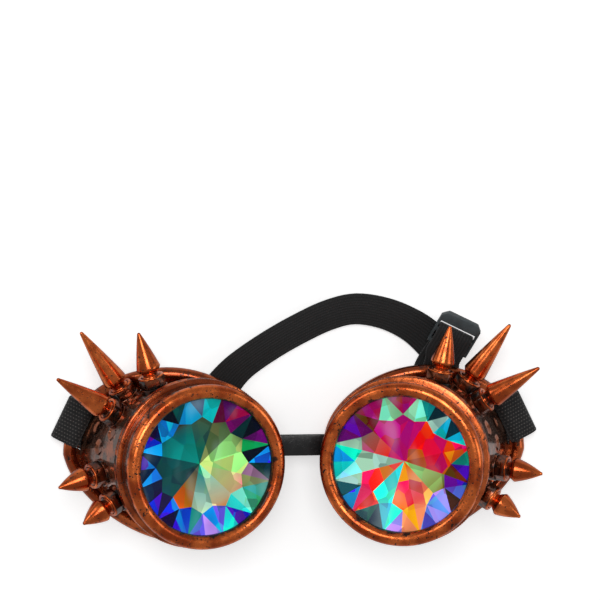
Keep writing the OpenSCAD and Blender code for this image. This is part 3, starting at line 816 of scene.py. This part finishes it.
def makeCrystal(name):
    side = sideSign[name]
    look = crystalTints[name]
    points, faces, shades = [], [], []

    def facet(corners, colors):
        start = len(points)
        points.extend(corners)
        faces.append(tuple(range(start, start + len(corners))))
        shades.extend(colors)
    # Each corner of a facet is a little lighter or darker than the facet's tint: painted highlight and
    # shade, for sparkle
    middle = facetPoint("middle", 0)
    for i in range(crystalSizes["facets"]):
        sideLow, sideHigh = facetPoint("side", i - 0.5), facetPoint("side", i + 0.5)
        tip, nextTip = facetPoint("tip", i), facetPoint("tip", i + 1)
        edgeLow, edgeHigh = facetPoint("edge", i - 0.5), facetPoint("edge", i + 0.5)
        inner, outer = [Vector(linear(tints[t])) for t in look["star"][i].split()]
        between = [inner.lerp(outer, 0.7), outer, inner.lerp(outer, 0.6)]
        facet([middle, sideLow, tip, sideHigh], [inner] + between)
        first, second = [Vector(linear(tints[t])) for t in look["between"][i].split()]
        facet([sideHigh, tip, edgeHigh], [first, first * 0.8, first * 1.1])
        facet([sideHigh, edgeHigh, nextTip], [second * 0.9, second * 1.1, second])
        first, second = [Vector(linear(tints[t])) for t in look["rim"][i].split()]
        halfway = (edgeLow + edgeHigh) / 2
        facet([tip, edgeLow, halfway], [first * 0.8, first * 1.1, first])
        facet([tip, halfway, edgeHigh], [second, second, second * 0.75])
    mesh = bpy.data.meshes.new(name + "Facets")
    mesh.from_pydata([p * mm for p in points], [], [tuple(reversed(f)) for f in faces])
    layer = mesh.color_attributes.new("tint", "FLOAT_COLOR", "POINT")
    layer.data.foreach_set("color", [c for shade in shades for c in (*shade[:3], 1)])
    facets = bpy.data.objects.new(name + "Facets", mesh)
    bpy.context.collection.objects.link(facets)
    edit(facets)
    bpy.ops.mesh.normals_make_consistent(inside=False)
    bpy.ops.mesh.flip_normals()
    leave()
    dress(facets, crystalTint)
    place(facets, barrel(side))
    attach(facets, name + "_eye")
    front = turned(name + "CrystalFront", frontOutline, 96)
    dress(front, crystalClear)
    smooth(front, 30)
    place(front, barrel(side))
    finishPiece(front, name + "_eye", "crystal", name + "_lens")


# Spikes, their nuts and the screws behind them

def spikeOutline(height, swell):
    base = spikeSizes["base"]
    wide = spikeSizes["baseRadius"]
    shoulder = base + spikeSizes["shoulder"]
    tipRadius = spikeSizes["tipRadius"]
    top = height - tipRadius
    outline = [
        (0, 3.45), (3.1, 3.45), (3.45, 3.75), (3.5, 4.0), (3.5, 5.0), (3.35, 5.35), (3.0, 5.55),
        (2.8, 5.7), (2.8, 6.0), (2.9, 6.2), (3.15, base + 0.05), (wide - 0.35, shoulder - 0.6),
        (wide - 0.14, shoulder - 0.32), (wide - 0.03, shoulder - 0.06),
    ]
    for i in range(1, spikeSizes["coneSteps"]):
        t = i / spikeSizes["coneSteps"]
        r = wide * (1 - t) + tipRadius * t + swell * 4 * t * (1 - t)
        outline.append((r, shoulder + (top - shoulder) * t))
    for i in range(5):
        a = math.radians(i * 18)
        outline.append((tipRadius * math.cos(a), top + tipRadius * math.sin(a)))
    return outline + [(0, height)]


# Darker on the spike's base and the foot of its cone, and none higher up
def spikeDarkening(point):
    if point.z < spikeSizes["base"]:
        return spikeSizes["baseDarken"]
    return spikeSizes["coneDarken"] if point.z < spikeSizes["darkenEnd"] else 0


def makeSpikes(name):
    side = sideSign[name]
    nuts = []
    for key, row in spikeRows.items():
        spike = turned(name + key.title() + "Spike", spikeOutline(row[4], row[5]), 64)
        paint(spike, "patinaAndShade", spikeDarkening)
        paint(spike, "bareCopperAndHighlight", lambda point: 0)
        smooth(spike, 40)
        dress(spike, copper["spikeCopper"])
        place(spike, onWall(row, side))
        finishPiece(spike, name + "_eye", "spike_copper", name + "_spike_" + key)
        nut = copyOf(nutModel, key + "Nut")
        place(nut, onWall(row, side))
        nuts.append(nut)
    nutSet = joined(nuts, name + "SpikeNuts")
    paint(nutSet, "patinaAndShade", lambda point: 0)
    paint(nutSet, "bareCopperAndHighlight", lambda point: 0)
    finishPiece(nutSet, name + "_eye", "nut_copper", name + "_spike_nuts")


def makeNut():
    # A hexagon with bevelled edges and a recess, and a thin round lip on top
    radius = nutSizes["flats"] / 2 / math.cos(math.pi / 6)
    nut = primitive("cylinder", "nut", vertices=6, radius=radius * mm, depth=nutSizes["high"] * mm,
                    location=(0, 0, nutSizes["middle"] * mm))
    place(nut, nut.matrix_world.copy())
    edit(nut)
    bpy.ops.mesh.select_all(action="DESELECT")
    leave()
    for face in nut.data.polygons:
        face.select = face.normal.z > 0.9
    bpy.ops.object.mode_set(mode="EDIT")
    bpy.ops.mesh.inset(thickness=nutSizes["rim"] * mm)
    bpy.ops.mesh.extrude_region_move(TRANSFORM_OT_translate={"value": (0, 0, -nutSizes["recess"] * mm)})
    leave()
    apply(nut, "BEVEL", width=nutSizes["bevel"] * mm, segments=3, limit_method="ANGLE",
          angle_limit=math.radians(40))
    smooth(nut, 40)
    lip = turned("nutLip", [(3.7, 4.4), (4.5, 4.4), (4.7, 4.6), (4.75, 4.85), (4.65, 5.1), (4.4, 5.2),
                            (4.0, 5.2), (3.75, 5.05), (3.7, 4.4)], 48)
    smooth(lip, 50)
    dress(nut, copper["nutCopper"])
    dress(lip, copper["spikeCopper"])
    return joined([nut, lip], "nutModel")


def softened(node, name, width):
    # A copy of the frame's solid with its edges rounded
    obj = copyOf(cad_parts[node], name)
    obj.parent = None
    obj.matrix_world = Matrix.Identity(4)
    obj.data.materials.clear()
    edit(obj)
    bpy.ops.mesh.remove_doubles(threshold=0.002 * mm)
    bpy.ops.mesh.dissolve_limited(angle_limit=math.radians(1))
    leave()
    apply(obj, "BEVEL", width=width * mm, segments=3, limit_method="ANGLE", angle_limit=math.radians(30))
    smooth(obj, 35)
    return obj


# Ribbons: a rounded flat section carried along a route of [centre, direction of the width, lean]

def curveMix(a, b, c, d, t):
    square = (2 * a - 5 * b + 4 * c - d) * t * t
    return 0.5 * (2 * b + (c - a) * t + square + (3 * b - a - 3 * c + d) * t ** 3)


def smoothRoute(stops, steps, closed=False):
    values = np.array([[*centre, turn, lean] for centre, turn, lean in stops], dtype=float)
    count = len(values)
    rounds = count if closed else count - 1

    def pick(i):
        return values[i % count] if closed else values[min(max(i, 0), count - 1)]
    path = [curveMix(pick(i - 1), pick(i), pick(i + 1), pick(i + 2), k / steps)
            for i in range(rounds) for k in range(steps)]
    path.append(path[0] if closed else values[-1])
    return np.array(path)


def ribbon(name, path, wide, thick, ribs, ribHigh, closed=False):
    flat = wide / 2 - thick / 2
    count = ribs * 5
    bottom = [-flat + 2 * flat * i / count for i in range(count + 1)]
    ribTurns = [math.pi * ribs * (x + flat) / (2 * flat) for x in bottom]
    profile = [(x, -thick / 2 - ribHigh * abs(math.sin(turn))) for x, turn in zip(bottom, ribTurns)]
    edge = [(thick / 2 * math.cos(a), thick / 2 * math.sin(a)) for a in np.radians([-60, -30, 0, 30, 60])]
    profile += [(flat + x, z) for x, z in edge]
    profile += [(x, -z) for x, z in reversed(profile[:count + 1])]
    profile += [(-flat - x, z) for x, z in reversed(edge)]
    profile.append(profile[0])
    rows, along = [], [0.0]
    last = len(path) - 1
    for i, stop in enumerate(path):
        before = path[last - 1 if closed and i == 0 else max(i - 1, 0)]
        after = path[1 if closed and i == last else min(i + 1, last)]
        way = Vector(after[:3] - before[:3]).normalized()
        turn, lean = math.radians(stop[3]), math.radians(stop[4])
        across = Vector((math.cos(turn) * math.cos(lean), math.sin(turn) * math.cos(lean), math.sin(lean)))
        up = way.cross(across).normalized()
        rows.append([Vector(stop[:3]) + across * x + up * z for x, z in profile])
        if i:
            along.append(along[-1] + float(np.linalg.norm(stop[:3] - path[i - 1][:3])))
    if not closed:
        closeEnds(rows)
        along = [along[0], *along, along[-1]]
    piece = rolled(name, rows, along, [x for x, _ in profile])
    smooth(piece, 50)
    return piece, along[-1]


webbingSizes = {"wide": 17, "thick": 1.1, "ribs": 17, "ribHigh": 0.05}
webbingRoute = [
    (-7.5, 0.8), (-3.5, 0.8), (0, 0.8), (3.6, 0.8), (5.6, 1.6), (6.4, 3.1), (5.8, 4.6), (4, 5.6),
    (1.5, 6.0), (-0.8, 6.35), (-2.5, 5.85), (-3.15, 4.2), (-3.3, 2.95), (-4.4, 2.25), (-7.6, 2.25),
    (-9.4, 4.12), (-10.8, 4.77), (-12.7, 4.57), (-13.7, 2.92), (-13, 1.4), (-11.4, 0.8),
]


def makeWebbing(name):
    side = sideSign[name]
    route = []
    for u, z in webbingRoute:
        point = atLoop(u, z)
        turn = math.degrees(loopTurn) + 90
        route.append(((side * point.x, point.y, point.z), turn if side > 0 else 180 - turn, 0))
    loop, length = ribbon(name + "WebbingLoop", smoothRoute(route, 5, True), webbingSizes["wide"],
                          webbingSizes["thick"], webbingSizes["ribs"], webbingSizes["ribHigh"], True)
    dress(loop, webbingCloth)
    finishPiece(loop, name + "_eye", "webbing", name + "_webbing_loop")
    ring = softened(name + "_strap_ring", name + "StrapRing", 0.45)
    dress(ring, ringPlastic)
    finishPiece(ring, name + "_eye", "black_plastic", name + "_strap_ring")
    print(name, "webbing loop is", round(length), "mm long")


# The elastic: its turn on the left ring, the arch beyond the cups, the right ring, then back to the adjuster

strapSizes = {"wide": 14, "thick": 1.1, "ribs": 12, "ribHigh": 0.05, "lowRun": 0.8, "highRun": 2.35,
              "ringMiddle": 2.92, "barAt": -18.4, "turnRadius": 2.12}
adjusterPlace = {"at": Vector((58.9, 44.4, 11.4)), "turn": -26, "climb": 25, "overBar": 1.9}


def ringStop(side, u, z):
    point = atLoop(u, z)
    turn = math.degrees(loopTurn)
    return ((side * point.x, point.y, point.z), 90 - turn if side < 0 else 90 + turn, 0)


def ringTurn(side, steps):
    r = strapSizes["turnRadius"]
    return [ringStop(side, strapSizes["barAt"] + r * math.cos(math.radians(a)),
                     strapSizes["ringMiddle"] + r * math.sin(math.radians(a))) for a in steps]


def adjusterStop(along, off):
    turn = math.radians(adjusterPlace["turn"])
    climb = math.radians(adjusterPlace["climb"])
    way = Vector((-math.sin(turn) * math.cos(climb), math.cos(turn) * math.cos(climb), math.sin(climb)))
    out = Vector((math.sin(turn) * math.sin(climb), -math.cos(turn) * math.sin(climb), math.cos(climb)))
    return (tuple(adjusterPlace["at"] + way * along + out * off), adjusterPlace["turn"], 0)


def makeElastic():
    low = strapSizes["lowRun"]
    high = strapSizes["highRun"]
    bar = strapSizes["barAt"]
    over = adjusterPlace["overBar"]
    stops = [ringStop(-1, bar - away, high + up) for away, up in ((9, 0), (6, 0.6), (3, 1.7))]
    stops += ringTurn(-1, [90, 45, 0, -45, -90]) + [ringStop(-1, bar - 3, low)]
    stops += [
        ((-59.5, 1.8, low), 68, 0), ((-54, 0.2, low), 90, 0), ((-47, 2.8, 1), 115, 1),
        ((-40.5, 8, 1.1), 132, 2), ((-35, 14.5, 1.3), 141, 4), ((-30.5, 21, 2), 145, 9),
        ((-26.5, 27, 3.2), 143, 18), ((-20.4, 33.4, 4.4), 132, 27), ((-9.5, 40.9, 4.8), 122, 29),
        ((1.8, 47.2, 4.8), 117, 29), ((12.4, 52, 4.8), 109, 29), ((22.5, 54.2, 4.8), 92, 29),
        ((33.6, 52.4, 4.8), 74, 29), ((43.2, 48.1, 4.3), 60, 25), ((50, 43, 2.9), 46, 14),
        ((54.4, 37.7, 1.6), 26, 6), ((55.6, 31.5, 1.1), 2, 2), ((54.4, 25, low), -12, 0),
        ((52, 18, low), -12, 0), ((52, 11.6, low), 18, 0), ((55.4, 6.6, low), 50, 0), ((61, 4, low), 88, 0),
    ]
    stops += ringTurn(1, [-90, -45, 0, 45, 90]) + [ringStop(1, bar - 3, high + 1.7)]
    stops += [
        ((59, 4, high), 84, 0), ((53.4, 6.8, high), 46, 0), ((50.2, 12, high), 14, 0),
        ((49.8, 18.5, high), -6, 0), ((50.6, 25, high + 0.1), -14, 0), ((52.2, 31.5, high + 0.6), -20, 0),
    ]
    stops += [adjusterStop(along, off) for along, off in [
        (-8.5, -over - 0.3), (-4, -over), (0, -over), (1.7, 0.5 - over), (2.2, 0), (1.7, over - 0.5),
        (0, over), (-4, over), (-8.5, over + 0.2)]]
    stops += [((54.9, 33, 6.9), -22, -10), ((54.2, 29.5, 5.1), -18, -6), ((53.4, 25, 4.3), -14, 0),
              ((52.8, 20, 4.2), -12, 0)]
    elastic, length = ribbon("elasticStrap", smoothRoute(stops, 5), strapSizes["wide"], strapSizes["thick"],
                             strapSizes["ribs"], strapSizes["ribHigh"])
    dress(elastic, elasticCloth)
    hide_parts("elastic_strap")
    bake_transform(elastic)
    print("elastic is", round(length), "mm long")


def makeAdjuster():
    adjuster = softened("strap_adjuster", "strapAdjuster", 0.35)
    dress(adjuster, slate)
    finishPiece(adjuster, "right_eye", "black_plastic", "strap_adjuster")


# The bridge: a flexible strip with a wider head at each end, inside the cups

bridgeSizes = {"y": 3.8, "z": 12, "wide": 8, "thick": 1.6, "headIn": 17.55, "headOut": 19.75, "headWide": 11,
               "headThick": 3.2, "corner": 0.45, "steps": 40}


def makeBridge():
    b = bridgeSizes
    corner = b["corner"]
    places = [(-b["headOut"], 1), (-b["headIn"], 1), (-b["headIn"], 0)]
    places += [(-b["headIn"] + 2 * b["headIn"] * i / b["steps"], 0) for i in range(1, b["steps"])]
    places += [(b["headIn"], 0), (b["headIn"], 1), (b["headOut"], 1)]
    rows = []
    for x, head in places:
        halfWide = (b["headWide"] if head else b["wide"]) / 2
        halfThick = (b["headThick"] if head else b["thick"]) / 2
        section = []
        for sy, sz, start in ((1, -1, -90), (1, 1, 0), (-1, 1, 90), (-1, -1, 180)):
            for k in range(5):
                a = math.radians(start + k * 22.5)
                section.append(Vector((x, b["y"] + sy * (halfWide - corner) + corner * math.cos(a),
                                       b["z"] + sz * (halfThick - corner) + corner * math.sin(a))))
        section.append(section[0])
        rows.append(section)
    closeEnds(rows)
    along = [row[0].x for row in rows]
    middleRow = rows[len(rows) // 2]
    bridge = rolled("noseBridge", rows, along, [p.y for p in middleRow])
    smooth(bridge, 40)
    dress(bridge, bridgePlastic)
    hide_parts("nose_bridge")
    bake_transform(bridge)


def makeScrews(name):
    screws = softened(name + "_spike_screws", name + "SpikeScrews", 0.25)
    dress(screws, steel)
    finishPiece(screws, name + "_eye", "steel", name + "_spike_screws")


def dressRubber(name):
    for node in (name + "_front_gasket", name + "_lens_cushion"):
        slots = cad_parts[node].data.materials
        slots.clear()
        slots.append(rubber)


seatModel = turned("seatModel", seatOutline, 48)
bossModel = turned("bossModel", bossOutline, 48)
dress(bossModel, copper["nutCopper"])
smooth(bossModel, 35)
nutModel = makeNut()
for sideName in sideSign:
    makeCup(sideName)
    makeBezel(sideName)
    makeCrystal(sideName)
    makeSpikes(sideName)
    makeScrews(sideName)
    makeWebbing(sideName)
    dressRubber(sideName)
    print(sideName, "cup done")
for model in (seatModel, bossModel, nutModel):
    bpy.data.objects.remove(model)
makeElastic()
makeAdjuster()
makeBridge()
print("strap and bridge done")


# Floor, light and camera. A lamp has its place and aim in metres, its size in metres and its power in watts.
# The floor's width is in metres too.

lamps = {
    "overhead": ((-0.08, 0.34, 1.10), (0, 0, 0), 0.5, 4.4),
    "leftKey": ((-0.85, 0.55, 0.65), (0, 0, 0.02), 0.45, 1.6),
    "rightFill": ((0.90, 0.10, 0.60), (0, 0, 0.02), 0.45, 1.1),
}
cameraPlace = {"here": (-82.3, 141.7, 930.7), "target": (-1.53, 60.73, 38), "lens": 149.0, "sensor": 36}
skyStrength = 0.34
floorWide = 6
floorGlow = 0.5


def makeFloor():
    floor = primitive("plane", "floor", size=floorWide)
    material, tree, shader = newMaterial("paleFloor")
    ray = put(tree, "ShaderNodeLightPath")
    seen = math2(tree, "MAXIMUM", ray.outputs["Is Camera Ray"], ray.outputs["Is Transmission Ray"])
    grain = noise(tree, objectPlace(tree), 3, 2)
    connect(tree, shader, {
        "Base Color": mixed(tree, grain, (0.84, 0.84, 0.84, 1), (0.86, 0.86, 0.86, 1)),
        "Roughness": 0.9,
        "Specular IOR Level": 0.0,
        "Emission Color": (1, 1, 1, 1),
        "Emission Strength": math2(tree, "MULTIPLY", seen, floorGlow),
    })
    dress(floor, material)


def makeLamp(name, spot, aim, size, power):
    data = bpy.data.lights.new(name, "AREA")
    data.size = size
    data.energy = power
    obj = bpy.data.objects.new(name, data)
    obj.location = spot
    obj.rotation_euler = (Vector(spot) - Vector(aim)).to_track_quat("Z", "Y").to_euler()
    bpy.context.collection.objects.link(obj)


def makeCamera():
    here = Vector(cameraPlace["here"]) * mm
    target = Vector(cameraPlace["target"]) * mm
    back = (here - target).normalized()
    across = Vector((0, 1, 0)).cross(back).normalized()
    up = back.cross(across)
    data = bpy.data.cameras.new("camera")
    data.lens = cameraPlace["lens"]
    data.sensor_width = cameraPlace["sensor"]
    camera = bpy.data.objects.new("camera", data)
    turn = Matrix((across, up, back)).transposed().to_4x4()
    camera.matrix_world = Matrix.Translation(here) @ turn
    bpy.context.collection.objects.link(camera)
    bpy.context.scene.camera = camera


makeFloor()
for lampName, lamp in lamps.items():
    makeLamp(lampName, *lamp)
makeCamera()
world = bpy.context.scene.world or bpy.data.worlds.new("studio")
bpy.context.scene.world = world
world.use_nodes = True
sky = world.node_tree.nodes["Background"]
sky.inputs["Color"].default_value = (1, 1, 1, 1)
sky.inputs["Strength"].default_value = skyStrength
bpy.context.scene.view_settings.view_transform = "Standard"
